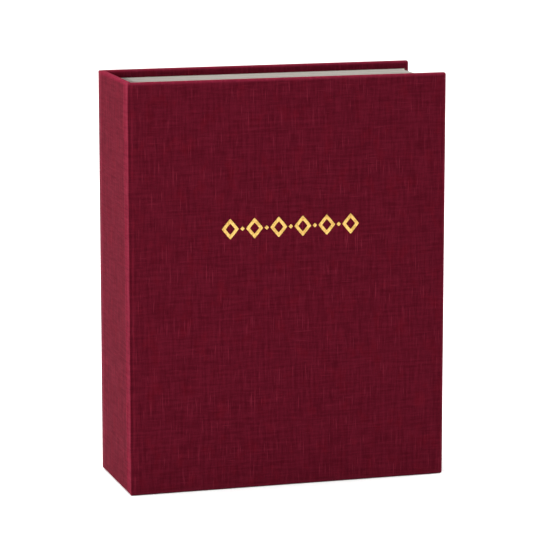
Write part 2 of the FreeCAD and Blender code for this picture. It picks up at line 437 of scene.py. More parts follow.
def cover_sheet(name, side, share_x, share_z, pressed):
    """The whole cloth of one cover: its face, its border and its joint, merged."""
    x = SHEET_START + (FORE_EDGE - FACE_MARGIN - SHEET_START) * share_x
    z = FACE_MARGIN + (HEIGHT - 2 * FACE_MARGIN) * share_z
    x, z = np.meshgrid(x, z, indexing="ij")
    dent = press_depth(x, z) if pressed else 0 * x
    face = np.stack([x, side * (COVER_FACE - dent), z], axis=-1)
    face_sheet = np.stack([x, z], axis=-1).reshape(-1, 2)
    ring = border(share_x, share_z, board_line)
    edge = np.stack([ring[..., 0], side * (COVER_FACE - ring[..., 2]), ring[..., 1]], axis=-1)
    joint, joint_sheet = joint_grid(side, share_z)
    parts = [
        (grid.reshape(-1, 3), quads(*grid.shape[:2]), sheet, 0)
        for grid, sheet in (
            (face, face_sheet),
            (edge, border_sheet(share_x, share_z)),
            (joint, joint_sheet),
        )
    ]
    piece = piece_from(name, parts)
    give_thickness(piece, Vector((0, side * COVER_FACE, HEIGHT / 2)), Vector((0, side, 0)))
    print(name, len(piece.data.polygons), "faces")
    return piece


PRESSED_ACROSS = np.array([-42 * MM, 42 * MM])
PRESSED_UP = np.array([-7.5 * MM, 7.5 * MM])
face_width = FORE_EDGE - FACE_MARGIN - SHEET_START
face_height = HEIGHT - 2 * FACE_MARGIN
across = (ORNAMENT_X + PRESSED_ACROSS - SHEET_START) / face_width
up = (ORNAMENT_Z + PRESSED_UP - FACE_MARGIN) / face_height
fine_x = steps((0, 8), (across[0], 150), (across[1], 8), (1, 0))
fine_z = steps((0, 16), (up[0], 28), (up[1], 12), (1, 0))
plain_x = steps((0, 24), (1, 0))
plain_z = steps((0, 32), (1, 0))
front_cloth = cover_sheet("front_cloth", FRONT, fine_x, fine_z, True)
back_cloth = cover_sheet("back_cloth", BACK, plain_x, plain_z, False)

# %% [markdown]
# The spine's cloth is the same idea again, with the spine board's own depth, and it is drawn from
# one joint to the other so that the three sheets read as one.

# %% The spine's cloth
def spine_sheet(share_z):
    """Straight rows across the spine, each turned in at tail and head."""
    y = np.linspace(-SPINE_SIDE, SPINE_SIDE, 24)
    none = 0 * y
    z, depth, v = wrapped_strip(share_z, none, none)
    x = SPINE_FACE + depth * SPINE_DEPTH / COVER_DEPTH
    grid = np.stack([x, np.broadcast_to(y[:, None], z.shape), z], axis=-1)
    u = np.broadcast_to(SHEET_START - joint_along[-1] - y[:, None] - SPINE_SIDE, z.shape)
    sheet = np.stack([u, v], axis=-1).reshape(-1, 2)
    piece = piece_from("spine_covering", [(grid.reshape(-1, 3), quads(*z.shape), sheet, 0)])
    give_thickness(piece, Vector((SPINE_FACE, 0, HEIGHT / 2)), Vector((-1, 0, 0)))
    return piece


spine_covering = spine_sheet(fine_z)
print("spine cloth", len(spine_covering.data.polygons), "faces")

# %% [markdown]
# Cut board has square edges, but under tight cloth they are soon knocked soft, and a square corner
# would come through the cloth's rounded one. A copy of each packed board is merged into one skin,
# its flat triangles are joined, and a Bevel rounds every edge.

# %% Soft-edged boards
BOARD_ROUND = 1.45 * MM
BOARD_SAME_POINT = 0.001 * MM
FLAT_ANGLE = 0.01


def soft_board(name):
    """A copy of a packed board with rounded edges."""
    mesh = nodes[name].data.copy()
    work = bmesh.new()
    work.from_mesh(mesh)
    bmesh.ops.remove_doubles(work, verts=work.verts, dist=BOARD_SAME_POINT)
    bmesh.ops.dissolve_limit(work, angle_limit=FLAT_ANGLE, verts=work.verts, edges=work.edges)
    work.to_mesh(mesh)
    work.free()
    board = bpy.data.objects.new(f"soft_{name}", mesh)
    bpy.context.scene.collection.objects.link(board)
    rounding = board.modifiers.new("rounding", "BEVEL")
    rounding.width, rounding.segments = BOARD_ROUND, 4
    return board


boards = {name: soft_board(name) for name in ("front_board", "back_board", "spine_board")}
print("boards", [b.name for b in boards.values()])

# %% [markdown]
# A pastedown is a sheet of paper glued inside a cover. It laps over the turn-ins, and their raw
# edges show through it as a low step all round. The sheet is a grid whose height is one smooth
# step in x times one in z.

# %% Pastedowns and flyleaves
PAPER = 0.22 * MM
PASTE_CLEAR = 0.01 * MM
PASTE_STEP = 0.4 * MM
STEP_FROM, STEP_TO = -0.1 * MM, 0.8 * MM
COCKLE = 0.05 * MM
FULL_TURN = 6.3
paste_low, paste_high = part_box("back_pastedown")
fly_low, fly_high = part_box("back_flyleaf")


def flat_sheet(x, z, y, thickness, side):
    """A closed sheet of even thickness whose visible face, at y, looks at the album's middle."""
    visible = np.stack([x, side * y, z], axis=-1)
    hidden = np.stack([x, side * (y + thickness), z], axis=-1)
    return shell(visible, hidden)


def pastedown(name, side):
    """The pasted sheet: nearer the leaves over the turn-ins, and one step lower inside them.

    The step is the product of three smooth steps, along the tail, the head and the fore-edge.
    """
    low, high, fore = TURN_IN, HEIGHT - TURN_IN, FORE_EDGE - TURN_IN
    inner, outer = 1 * MM, 0.6 * MM
    x = steps((paste_low.x, 12), (fore - inner, 8), (fore + outer, 5), (paste_high.x, 0))
    z = steps(
        (paste_low.z, 5), (low - outer, 8), (low + inner, 24), (high - inner, 8),
        (high + outer, 5), (paste_high.z, 0),
    )
    x, z = np.meshgrid(x, z, indexing="ij")
    inside = 1 - smooth_step(x, fore - STEP_TO, fore - STEP_FROM)
    inside *= smooth_step(z, low + STEP_FROM, low + STEP_TO)
    inside *= 1 - smooth_step(z, high - STEP_TO, high - STEP_FROM)
    y = paste_low.y + PASTE_CLEAR + PASTE_STEP * inside
    points, faces = flat_sheet(x, z, y, PAPER, side)
    return piece_from(name, [(points, faces, None, 0)])


def flyleaf(name, side, seed):
    """A free sheet with a slight cockle: a sum of three long waves, none at the fold."""
    rng = np.random.default_rng(seed)
    x, z = np.linspace(fly_low.x, fly_high.x, 36), np.linspace(fly_low.z, fly_high.z, 44)
    x, z = np.meshgrid(x, z, indexing="ij")
    phase, tilt = rng.uniform(0, FULL_TURN, 3), rng.uniform(-1, 1, 3)
    across = (x - fly_low.x) / (fly_high.x - fly_low.x)
    up = (z - fly_low.z) / (fly_high.z - fly_low.z)
    wave = sum(
        np.sin(FULL_TURN * ((i + 1) * up + tilt[i] * across) + phase[i]) / (i + 1)
        for i in range(3)
    )
    y = (fly_low.y + fly_high.y) / 2 - 0.1 * MM + COCKLE * wave * across
    points, faces = flat_sheet(x, z, y, PAPER, side)
    return piece_from(name, [(points, faces, None, 0)])


papers = {
    "front": (pastedown("front_pasted_paper", FRONT), flyleaf("front_free_paper", FRONT, 3)),
    "back": (pastedown("back_pasted_paper", BACK), flyleaf("back_free_paper", BACK, 4)),
}
print("papers", [p.name for pair in papers.values() for p in pair])

# %% [markdown]
# A pocket leaf is a white card with a thin fold strip at the spine, and two clear film pockets on
# each side. The film is welded to the card along three edges. Between the welds it stands a little
# off the card, and its open edge, near the spine, lifts into a lip. Clear film on white card reads
# as a smoother, glossier sheet, so that is how it is drawn, and there is no need to see through it.

# %% Pocket leaves
LEAVES = 40
FOLD_STRIP = 3.9 * MM
FOLD_HALF, CARD_HALF = 0.1 * MM, 0.25 * MM
LEAF_CORNER = 2.5 * MM
STEP_HALF = 0.5 * MM
WELD = 2.5 * MM
POCKET_OPEN = 8.4 * MM
FILM = 0.06 * MM
FILM_GAP, FILM_CROWN, FILM_LIP = 0.03 * MM, 0.09 * MM, 0.05 * MM
FIRST_LEAF_SEED = 100
pocket_height = (LEAF_HEAD - LEAF_TAIL - 3 * WELD) / 2


def card_wave(x, z, index):
    """A slow ripple across a card, growing away from the fold: two sines with random phases."""
    rng = np.random.default_rng(FIRST_LEAF_SEED + index)
    share = (x - leaf_low.x) / (leaf_high.x - leaf_low.x)
    up = (z - LEAF_TAIL) / (LEAF_HEAD - LEAF_TAIL)
    a, b, c = rng.uniform(0, FULL_TURN, 3)
    ripple = np.sin(FULL_TURN * (1.3 * up + 0.4 * share) + a)
    ripple = ripple + 0.6 * np.sin(FULL_TURN * (2.6 * up - share) + b)
    return share * (0.045 * MM * ripple + 0.05 * MM * np.sin(2.2 * share + c))


def leaf_card(low, high, middle, index):
    """The card: its thickness steps up from the fold strip, and its far corners are rounded.

    A corner's bite at distance d into its radius r is r - sqrt(r^2 - d^2).
    """
    width = high.x - low.x
    x = low.x + steps(
        (0, 2), (FOLD_STRIP - STEP_HALF, 3), (FOLD_STRIP + STEP_HALF, 14),
        (width - LEAF_CORNER, 6), (width, 0),
    )
    into = np.clip(x - high.x + LEAF_CORNER, 0, None)
    bite = LEAF_CORNER - np.sqrt(np.clip(LEAF_CORNER**2 - into**2, 0, None))
    up = steps((0, 3), (0.03, 18), (0.97, 3), (1, 0))
    z = low.z + bite[:, None] + (high.z - low.z - 2 * bite[:, None]) * up
    x = np.broadcast_to(x[:, None], z.shape)
    thicker = smooth_step(x - low.x, FOLD_STRIP - STEP_HALF, FOLD_STRIP + STEP_HALF)
    half = FOLD_HALF + (CARD_HALF - FOLD_HALF) * thicker
    wave = card_wave(x, z, index)
    points, faces = shell(
        np.stack([x, middle + wave - half, z], axis=-1),
        np.stack([x, middle + wave + half, z], axis=-1),
    )
    return points, faces, None, 0


def pocket_film(low, high, middle, index, side, row):
    """One pocket's film: it follows the card's ripple, crowns between its welds, and has a lip."""
    across = steps((0, 4), (0.05, 9), (0.94, 4), (1, 0))
    up = steps((0, 4), (0.07, 8), (0.93, 4), (1, 0))
    u, v = np.meshgrid(across, up, indexing="ij")
    x = low.x + POCKET_OPEN + (high.x - WELD - low.x - POCKET_OPEN) * u
    z = LEAF_TAIL + WELD + row * (pocket_height + WELD) + pocket_height * v
    crown = smooth_step(v, 0, 0.07) * (1 - smooth_step(v, 0.93, 1))
    crown = crown * (1 - smooth_step(u, 0.94, 1))
    lip = (1 - smooth_step(u, 0, 0.05)) * crown
    height = CARD_HALF + FILM_GAP + FILM_CROWN * crown + FILM_LIP * lip
    outer = np.stack([x, middle + card_wave(x, z, index) + side * height, z], axis=-1)
    points, faces = shell(outer, outer - np.array([0, side * FILM, 0]))
    return points, faces, None, 1


def pocket_leaf(index):
    """Card and four films as one object, about the leaf's middle plane."""
    name = f"leaf_{index + 1:02d}"
    low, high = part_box(name)
    middle = (low.y + high.y) / 2
    parts = [leaf_card(low, high, middle, index)]
    parts += [
        pocket_film(low, high, middle, index, side, row) for side in (-1, 1) for row in (0, 1)
    ]
    return piece_from(f"pocket_{name}", parts)


leaves = [pocket_leaf(i) for i in range(LEAVES)]
print("leaves", len(leaves), "of", len(leaves[0].data.polygons), "faces each")

# %% [markdown]
# The foil is a skin of gold that lies on the floor of the dents. Each open lozenge is the band
# between two lozenges, and each dot a small full one, with slightly rounded points, because the
# die's corners don't print dead sharp.

# %% Gold ornament
FOIL_LIFT = 0.035 * MM
FOIL_THICK = 0.03 * MM
FOIL_EDGE_DROP = 0.02 * MM
POINT_POWER = 1.08


def lozenge_ring(middle_x, half_width, half_height, inner_share, steps_round=96):
    """A grid round a lozenge: the sum of |cos| and |sin| to a power gives a softened diamond.

    radius(a) = (|cos a / w|^p + |sin a / h|^p)^(-1/p), with the power p a little above 1.
    """
    a = np.linspace(0, 2 * math.pi, steps_round + 1)
    wide = np.abs(np.cos(a) / half_width) ** POINT_POWER
    tall = np.abs(np.sin(a) / half_height) ** POINT_POWER
    radius = (wide + tall) ** (-1 / POINT_POWER)
    share = np.array([1.0, 0.97, 0.5 + inner_share / 2, inner_share + 0.03, inner_share])
    x = middle_x + share[:, None] * radius * np.cos(a)
    z = ORNAMENT_Z + share[:, None] * radius * np.sin(a)
    return x, z


def foil_skin(x, z, edge_drop):
    """A shape's closed skin on the floor of its dent, with its first and last ring set lower."""
    drop = np.zeros(x.shape)
    drop[[0, -1]] = edge_drop
    outer = np.stack([x, drop - (COVER_FACE - PRESS + FOIL_LIFT), z], axis=-1)
    points, faces = shell(outer, outer + np.array([0, FOIL_THICK, 0]), round_about=True)
    return points, faces, None, 0


ring_share = 1 - STROKE / SLANT
foil_parts = [
    foil_skin(
        *lozenge_ring(middle, LOZENGE_HALF_WIDTH, LOZENGE_HALF_HEIGHT, ring_share), FOIL_EDGE_DROP
    )
    for middle in lozenge_x
]
foil_parts += [foil_skin(*lozenge_ring(m, DOT_HALF, DOT_HALF, 0.05, 24), 0) for m in dot_x]
gold = piece_from("gold_ornament", foil_parts)
print("gold", len(gold.data.polygons), "faces")

# %% [markdown]
# Each piece now gets a body to move with, and the imported parts it stands for are hidden. A
# cover's cloth crosses a joint; it keeps the place it was drawn in and is given no body here.

# %% Which piece moves with what
carrier = {"front_board": "front_cover", "back_board": "back_cover", "spine_board": "spine"}
for side, name, cloth in ((FRONT, "front", front_cloth), (BACK, "back", back_cloth)):
    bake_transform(cloth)
    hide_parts(f"{name}_cover_cloth", f"{name}_joint_cloth")
    pasted, free = papers[name]
    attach(pasted, f"{name}_cover")
    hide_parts(f"{name}_pastedown")
    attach(free, f"{name}_flyleaf")
    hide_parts(f"{name}_flyleaf")

for name, board in boards.items():
    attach(board, carrier[name])
    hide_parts(name)
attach(spine_covering, "spine")
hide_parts("spine_cloth")
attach(gold, "front_cover")
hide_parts("foil_ornament")
for i, leaf in enumerate(leaves):
    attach(leaf, f"leaf_{i + 1:02d}")
    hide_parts(f"leaf_{i + 1:02d}")

# %% [markdown]
# Finishes are made of nodes. A small helper adds a node, sets its values and links its inputs, and
# a second one makes a node group with named sockets. Each shared effect is a group, and gives out
# only numbers: the shader itself stays in the material.

# %% Helpers: nodes
def node(tree, kind, inputs=(), **settings):
    """Adds a node. inputs are (name or number, value or socket) pairs."""
    made = tree.nodes.new(kind)
    for name, value in settings.items():
        setattr(made, name, value)
    for name, value in inputs:
        if isinstance(value, bpy.types.NodeSocket):
            tree.links.new(value, made.inputs[name])
        else:
            made.inputs[name].default_value = value
    return made


def maths(tree, operation, first, second=0.0, third=0.0):
    """The result of one Math node."""
    pairs = [(0, first), (1, second), (2, third)]
    return node(tree, "ShaderNodeMath", pairs, operation=operation).outputs[0]


def between(tree, value, low, high, to_low=0.0, to_high=1.0):
    """A smooth Map Range from low..high to to_low..to_high."""
    pairs = [(0, value), (1, low), (2, high), (3, to_low), (4, to_high)]
    made = node(tree, "ShaderNodeMapRange", pairs, interpolation_type="SMOOTHSTEP")
    return made.outputs[0]


def noise(tree, vector, detail=2.0, roughness=0.5, scale=1.0):
    """The 0 to 1 value of a noise texture."""
    pairs = [("Vector", vector), ("Scale", scale), ("Detail", detail), ("Roughness", roughness)]
    return node(tree, "ShaderNodeTexNoise", pairs).outputs["Fac"]


def stretched(tree, vector, per_metre):
    """The vector times (x, y, z) per metre."""
    pairs = [(0, vector), (1, per_metre)]
    return node(tree, "ShaderNodeVectorMath", pairs, operation="MULTIPLY").outputs[0]


def mixed(tree, share, first, second):
    """Two colours mixed by a share."""
    pairs = [(0, share), (6, first), (7, second)]
    return node(tree, "ShaderNodeMix", pairs, data_type="RGBA").outputs[2]


def new_group(name, inputs, outputs):
    """A node group with (name, socket kind, default) inputs and (name, socket kind) outputs."""
    group = bpy.data.node_groups.new(name, "ShaderNodeTree")
    for label, kind, default in inputs:
        socket = group.interface.new_socket(label, in_out="INPUT", socket_type=kind)
        if default is not None:
            socket.default_value = default
    for label, kind in outputs:
        group.interface.new_socket(label, in_out="OUTPUT", socket_type=kind)
    return group, node(group, "NodeGroupInput"), node(group, "NodeGroupOutput")


def use_group(tree, group, inputs):
    """Places a node group in a tree."""
    return node(tree, "ShaderNodeGroup", inputs, node_tree=group)


def put_out(group, out, **values):
    """Links values to a group's outputs of the same names."""
    for label, value in values.items():
        group.links.new(value, out.inputs[label])


VALUE, VECTOR = "NodeSocketFloat", "NodeSocketVector"
print("sockets", VALUE, VECTOR)

# %% [markdown]
# Linen-look book cloth is a plain weave of uneven yarns. Seen from an arm's length, the weave
# itself almost vanishes, and what is left is streaks: fine ones along both yarn directions, and
# here and there a slub, a thick pale stretch of one yarn. Noise squeezed hard in one direction
# gives streaks. Two crossed sine waves give the weave between them.

# %% Group: linen threads
linen, given, out = new_group(
    "linen_threads",
    [("Sheet", VECTOR, None), ("Yarn", VALUE, 0.6 * MM), ("Slub Share", VALUE, 0.5)],
    [("Upright", VALUE), ("Level", VALUE), ("Slubs", VALUE), ("Height", VALUE)],
)
sheet_uv = given.outputs["Sheet"]
upright = noise(linen, stretched(linen, sheet_uv, (640, 55, 1)), 4.0, 0.78)
level = noise(linen, stretched(linen, sheet_uv, (60, 640, 1)), 4.0, 0.78)
upright_slub = noise(linen, stretched(linen, sheet_uv, (1500, 70, 5)), 1.0, 0.4)
level_slub = noise(linen, stretched(linen, sheet_uv, (70, 1500, 9)), 1.0, 0.4)
edge = maths(linen, "MULTIPLY_ADD", given.outputs["Slub Share"], -0.12, 0.70)
level_edge = maths(linen, "ADD", edge, 0.03)
upright_slub = between(linen, upright_slub, edge, maths(linen, "ADD", edge, 0.10))
level_slub = between(linen, level_slub, level_edge, maths(linen, "ADD", edge, 0.14))
slubs = maths(linen, "MAXIMUM", upright_slub, maths(linen, "MULTIPLY", level_slub, 0.6))
turns = maths(linen, "DIVIDE", 2 * math.pi, given.outputs["Yarn"])
apart = node(linen, "ShaderNodeSeparateXYZ", [(0, sheet_uv)])
wave_u = maths(linen, "SINE", maths(linen, "MULTIPLY", apart.outputs[0], turns))
wave_v = maths(linen, "SINE", maths(linen, "MULTIPLY", apart.outputs[1], turns))
weave = maths(linen, "MULTIPLY_ADD", maths(linen, "MULTIPLY", wave_u, wave_v), 0.5, 0.5)
height = maths(linen, "MULTIPLY_ADD", upright, 1.1, maths(linen, "MULTIPLY", level, 0.9))
height = maths(linen, "MULTIPLY_ADD", weave, 0.35, height)
height = maths(linen, "MULTIPLY_ADD", slubs, 0.5, height)
put_out(linen, out, Upright=upright, Level=level, Slubs=slubs, Height=height)
print("linen group", len(linen.nodes), "nodes")

# %% [markdown]
# Paper and board are felted fibres. A coarse noise gives their cloudy look against the light, a
# fine one their tooth. The same group, with its own values, serves every paper and card.

# %% Group: paper fibre
fibre, given, out = new_group(
    "paper_fibre",
    [("Place", VECTOR, None), ("Cloud Size", VALUE, 0.008), ("Tooth Size", VALUE, 0.0004)],
    [("Cloud", VALUE), ("Specks", VALUE), ("Height", VALUE)],
)
place = given.outputs["Place"]
cloud_scale = maths(fibre, "DIVIDE", 1.0, given.outputs["Cloud Size"])
tooth_scale = maths(fibre, "DIVIDE", 1.0, given.outputs["Tooth Size"])
cloud = noise(fibre, place, 3.0, 0.55, cloud_scale)
tooth = noise(fibre, place, 2.0, 0.6, tooth_scale)
speck_scale = maths(fibre, "MULTIPLY", tooth_scale, 0.55)
specks = between(fibre, noise(fibre, place, 1.0, 0.5, speck_scale), 0.66, 0.78)
put_out(fibre, out, Cloud=cloud, Specks=specks, Height=tooth)
print("fibre group", len(fibre.nodes), "nodes")

# %% [markdown]
# Handling rubs cloth first where it stands proud, at its outer edges. This group gives
# a mask that is 1 at three planes, fore-edge, head and tail, and fades inwards over its reach,
# broken up by noise. The cloth uses it for that wear, with the case's planes. The leaves use it,
# with their own planes and no noise, for painted shade along their edges.

# %% Group: rubbed edges and painted edge shade
wear_and_shade_group, given, out = new_group(
    "rubbed_edges",
    [
        ("Place", VECTOR, None),
        ("Reach", VALUE, 0.0012),
        ("Fore Edge", VALUE, FORE_EDGE),
        ("Head", VALUE, HEIGHT),
        ("Tail", VALUE, 0.0),
        ("Patchiness", VALUE, 1.0),
    ],
    [("Rubbed", VALUE)],
)
apart = node(wear_and_shade_group, "ShaderNodeSeparateXYZ", [(0, given.outputs["Place"])])
from_fore = maths(wear_and_shade_group, "SUBTRACT", given.outputs["Fore Edge"], apart.outputs[0])
from_head = maths(wear_and_shade_group, "SUBTRACT", given.outputs["Head"], apart.outputs[2])
from_tail = maths(wear_and_shade_group, "SUBTRACT", apart.outputs[2], given.outputs["Tail"])
nearest = maths(wear_and_shade_group, "MINIMUM", from_fore, maths(wear_and_shade_group, "MINIMUM", from_head, from_tail))
close = maths(wear_and_shade_group, "SUBTRACT", 1.0, maths(wear_and_shade_group, "DIVIDE", nearest, given.outputs["Reach"]))
patchy = between(wear_and_shade_group, noise(wear_and_shade_group, given.outputs["Place"], 3.0, 0.6, 420.0), 0.35, 0.7)
even = maths(wear_and_shade_group, "SUBTRACT", 1.0, given.outputs["Patchiness"])
patchy = maths(wear_and_shade_group, "MAXIMUM", patchy, even)
close = maths(wear_and_shade_group, "MINIMUM", maths(wear_and_shade_group, "MAXIMUM", close, 0.0), 1.0)
# The mask is real wear where the cloth uses it, and painted shade where the leaves use it.
put_out(wear_and_shade_group, out, Rubbed=maths(wear_and_shade_group, "MULTIPLY", close, patchy))
print("rubbed group", len(wear_and_shade_group.nodes), "nodes")

# %% [markdown]
# A material is then short: coordinates, one or two groups, two or three colours mixed by their
# masks, and the shader. Roughness and bump read the same masks, so a slub is paler, rougher and
# higher all at once, as it is on the cloth.

# %% Helper: a material with a shader
def new_material(name, roughness=0.8, **constants):
    """A material, its tree, its Principled shader and its Object coordinates."""
    material = bpy.data.materials.new(name)
    material.use_nodes = True
    tree = material.node_tree
    tree.nodes.clear()
    shader = node(tree, "ShaderNodeBsdfPrincipled", [("Roughness", roughness)])
    for socket, value in constants.items():
        shader.inputs[socket.replace("_", " ")].default_value = value
    output = node(tree, "ShaderNodeOutputMaterial")
    tree.links.new(shader.outputs[0], output.inputs[0])
    place = node(tree, "ShaderNodeTexCoord").outputs["Object"]
    return material, tree, shader, place


def finish_shader(tree, shader, colour, roughness=None, height=None, depth=0.0001, strength=1.0):
    """Links a colour, a roughness and a bump of the given depth in metres."""
    tree.links.new(colour, shader.inputs["Base Color"])
    if roughness is not None:
        tree.links.new(roughness, shader.inputs["Roughness"])
    if height is not None:
        pairs = [("Height", height), ("Distance", depth), ("Strength", strength)]
        bump = node(tree, "ShaderNodeBump", pairs)
        tree.links.new(bump.outputs[0], shader.inputs["Normal"])


print("material helpers ready for", linen.name, fibre.name, wear_and_shade_group.name)

# %% [markdown]
# The burgundy cloth takes its colour from the streaks of its yarns, from dull to clear. Over it
# come pale slubs, brighter rubbed edges, faint clouds of dye, and a painted highlight: a paler band
# on the spine beside each joint, where the spine's rounded edge turns towards the light. Each is one
# more mix by a mask.

# %% Book cloth
YARN = 0.6 * MM
HIGHLIGHT_START, HIGHLIGHT_END = COVER_FACE - 10 * MM, COVER_FACE - 5 * MM
CLOTH_DARK, CLOTH_CLEAR = (0.044, 0.0015, 0.0054, 1), (0.082, 0.0042, 0.0118, 1)
SLUB_PALE, RUBBED_PALE = (0.19, 0.016, 0.034, 1), (0.20, 0.014, 0.036, 1)
# The second colour on the next line is a painted highlight, for the spine beside each joint.
DYE_CLOUD, SPINE_HIGHLIGHT_PALE = (0.098, 0.0018, 0.006, 1), (0.145, 0.0115, 0.026, 1)

cloth_material, tree, shader, place = new_material(
    "burgundy_book_cloth", 0.8, Specular_IOR_Level=0.02
)
sheet_uv = node(tree, "ShaderNodeUVMap", uv_map="cloth").outputs[0]
threads = use_group(tree, linen, [("Sheet", sheet_uv), ("Yarn", YARN), ("Slub Share", 0.5)])
streaks = maths(
    tree, "MULTIPLY_ADD", threads.outputs["Upright"], 0.52,
    maths(tree, "MULTIPLY", threads.outputs["Level"], 0.48),
)
colour = mixed(tree, between(tree, streaks, 0.34, 0.66), CLOTH_DARK, CLOTH_CLEAR)
slub_share = maths(tree, "MULTIPLY", threads.outputs["Slubs"], 0.32)
colour = mixed(tree, slub_share, colour, SLUB_PALE)
wear = use_group(tree, wear_and_shade_group, [("Place", place), ("Reach", 2 * MM), ("Patchiness", 0.45)])
colour = mixed(tree, maths(tree, "MULTIPLY", wear.outputs[0], 0.7), colour, RUBBED_PALE)
clouds = noise(tree, stretched(tree, sheet_uv, (110, 75, 1)), 3.0, 0.6)
colour = mixed(tree, between(tree, clouds, 0.5, 0.72, 0.0, 0.22), colour, DYE_CLOUD)
# Painted highlight: the spine's cloth is made paler in a band beside each joint, where its rounded
# edge turns towards the main light.
apart = node(tree, "ShaderNodeSeparateXYZ", [(0, place)])
spine_highlight = maths(
    tree, "MULTIPLY",
    between(tree, maths(tree, "ABSOLUTE", apart.outputs[1]), HIGHLIGHT_START, HIGHLIGHT_END),
    between(tree, apart.outputs[0], SPINE_FACE + 0.45 * MM, SPINE_FACE + 0.75 * MM, 1.0, 0.0),
)
spine_highlight = maths(tree, "MULTIPLY", spine_highlight, between(tree, streaks, 0.34, 0.66, 0.15, 0.65))
colour = mixed(tree, spine_highlight, colour, SPINE_HIGHLIGHT_PALE)
rough = between(tree, streaks, 0.3, 0.7, 0.86, 0.72)
finish_shader(tree, shader, colour, rough, threads.outputs["Height"], 0.12 * MM, 0.9)
print("cloth material", len(tree.nodes), "nodes")

# %% [markdown]
# The papers differ only in colour and tooth: warm off-white endpapers, grey board with specks of
# recycled fibre, brown kraft on the spine, and plain card for the guards. The glue is made the same
# way, but smoother and with larger lumps. Each takes three colours, light, dark and speck, and then
# the size of its clouds, the size of its tooth and the depth of its tooth.

# %% Papers and boards
def paper_material(name, light, dark, speck, cloud_size, tooth_size, depth, roughness=0.85):
    """Felted stock: clouded from dark to light, with specks, and a tooth of the given depth."""
    material, tree, shader, place = new_material(name, roughness, Specular_IOR_Level=0.3)
    felt = use_group(
        tree, fibre, [("Place", place), ("Cloud Size", cloud_size), ("Tooth Size", tooth_size)]
    )
    colour = mixed(tree, between(tree, felt.outputs["Cloud"], 0.3, 0.7), dark, light)
    colour = mixed(tree, maths(tree, "MULTIPLY", felt.outputs["Specks"], 0.6), colour, speck)
    rough = between(tree, felt.outputs["Height"], 0.3, 0.7, roughness + 0.06, roughness - 0.06)
    finish_shader(tree, shader, colour, rough, felt.outputs["Height"], depth)
    return material


endpaper = paper_material(
    "endpaper", (0.55, 0.515, 0.45, 1), (0.515, 0.48, 0.42, 1), (0.44, 0.40, 0.33, 1),
    20 * MM, 0.5 * MM, 0.04 * MM,
)
greyboard = paper_material(
    "greyboard", (0.40, 0.38, 0.35, 1), (0.30, 0.285, 0.26, 1), (0.16, 0.15, 0.14, 1),
    4 * MM, 0.7 * MM, 0.1 * MM,
)
kraft = paper_material(
    "kraft_lining", (0.46, 0.32, 0.19, 1), (0.37, 0.25, 0.14, 1), (0.25, 0.16, 0.09, 1),
    6 * MM, 0.6 * MM, 0.06 * MM,
)
guard_card = paper_material(
    "guard_card", (0.46, 0.43, 0.38, 1), (0.42, 0.39, 0.345, 1), (0.34, 0.31, 0.265, 1),
    10 * MM, 0.5 * MM, 0.05 * MM,
)
glue = paper_material(
    "binding_glue", (0.58, 0.53, 0.40, 1), (0.49, 0.44, 0.31, 1), (0.40, 0.34, 0.23, 1),
    3 * MM, 2 * MM, 0.2 * MM, 0.35,
)
print("paper materials", [m.name for m in (endpaper, greyboard, kraft, guard_card, glue)])

# %% [markdown]
# No two leaves have quite the same tone, and that is what gives the block its fine streaks. The
# leaf's own number comes from its place across the block: divide by the pitch and round down. The
# card is darker along its trimmed edges: painted shade, for the narrow gaps between the leaves. The
# film is smooth, with scuffs along the way that prints are slid in.

# %% Leaf card and pocket film
block_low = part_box("guard_strips")[0].y
LEAF_PITCH = -2 * block_low / LEAVES


def leaf_tone(tree, place):
    """A random number from 0 to 1 for each leaf."""
    y = node(tree, "ShaderNodeSeparateXYZ", [(0, place)]).outputs[1]
    across_block = maths(tree, "SUBTRACT", y, block_low)
    pairs = [("W", maths(tree, "FLOOR", maths(tree, "DIVIDE", across_block, LEAF_PITCH)))]
    return node(tree, "ShaderNodeTexWhiteNoise", pairs, noise_dimensions="1D").outputs["Value"]


CARD_DARK, CARD_LIGHT = (0.40, 0.375, 0.33, 1), (0.54, 0.515, 0.47, 1)
CARD_CLOUD = (0.40, 0.37, 0.32, 1)
# Colours of the painted shade along the leaves' edges, from a dark leaf to a light one.
TRIM_SHADE_DARK, TRIM_SHADE_LIGHT = (0.15, 0.135, 0.12, 1), (0.34, 0.31, 0.28, 1)
FILM_DARK, FILM_LIGHT = (0.42, 0.405, 0.375, 1), (0.53, 0.515, 0.49, 1)

card, tree, shader, place = new_material("leaf_card", 0.75, Specular_IOR_Level=0.3)
fibres = [("Place", place), ("Cloud Size", 12 * MM), ("Tooth Size", 0.45 * MM)]
felt = use_group(tree, fibre, fibres)
tone = leaf_tone(tree, place)
colour = mixed(tree, tone, CARD_DARK, CARD_LIGHT)
colour = mixed(tree, maths(tree, "MULTIPLY", felt.outputs["Cloud"], 0.25), colour, CARD_CLOUD)
leaf_outline = [
    ("Place", place),
    ("Reach", 1.6 * MM),
    ("Fore Edge", leaf_high.x),
    ("Head", LEAF_HEAD),
    ("Tail", LEAF_TAIL),
    ("Patchiness", 0.0),
]
# Painted shade: each card is darker within 1.6 mm of its fore-edge, head and tail, for the shaded
# gaps between the leaves.
trim_shade = maths(tree, "MULTIPLY", use_group(tree, wear_and_shade_group, leaf_outline).outputs[0], 0.75)
colour = mixed(tree, trim_shade, colour, mixed(tree, tone, TRIM_SHADE_DARK, TRIM_SHADE_LIGHT))
rough = between(tree, tone, 0, 1, 0.7, 0.8)
finish_shader(tree, shader, colour, rough, felt.outputs["Height"], 0.04 * MM)

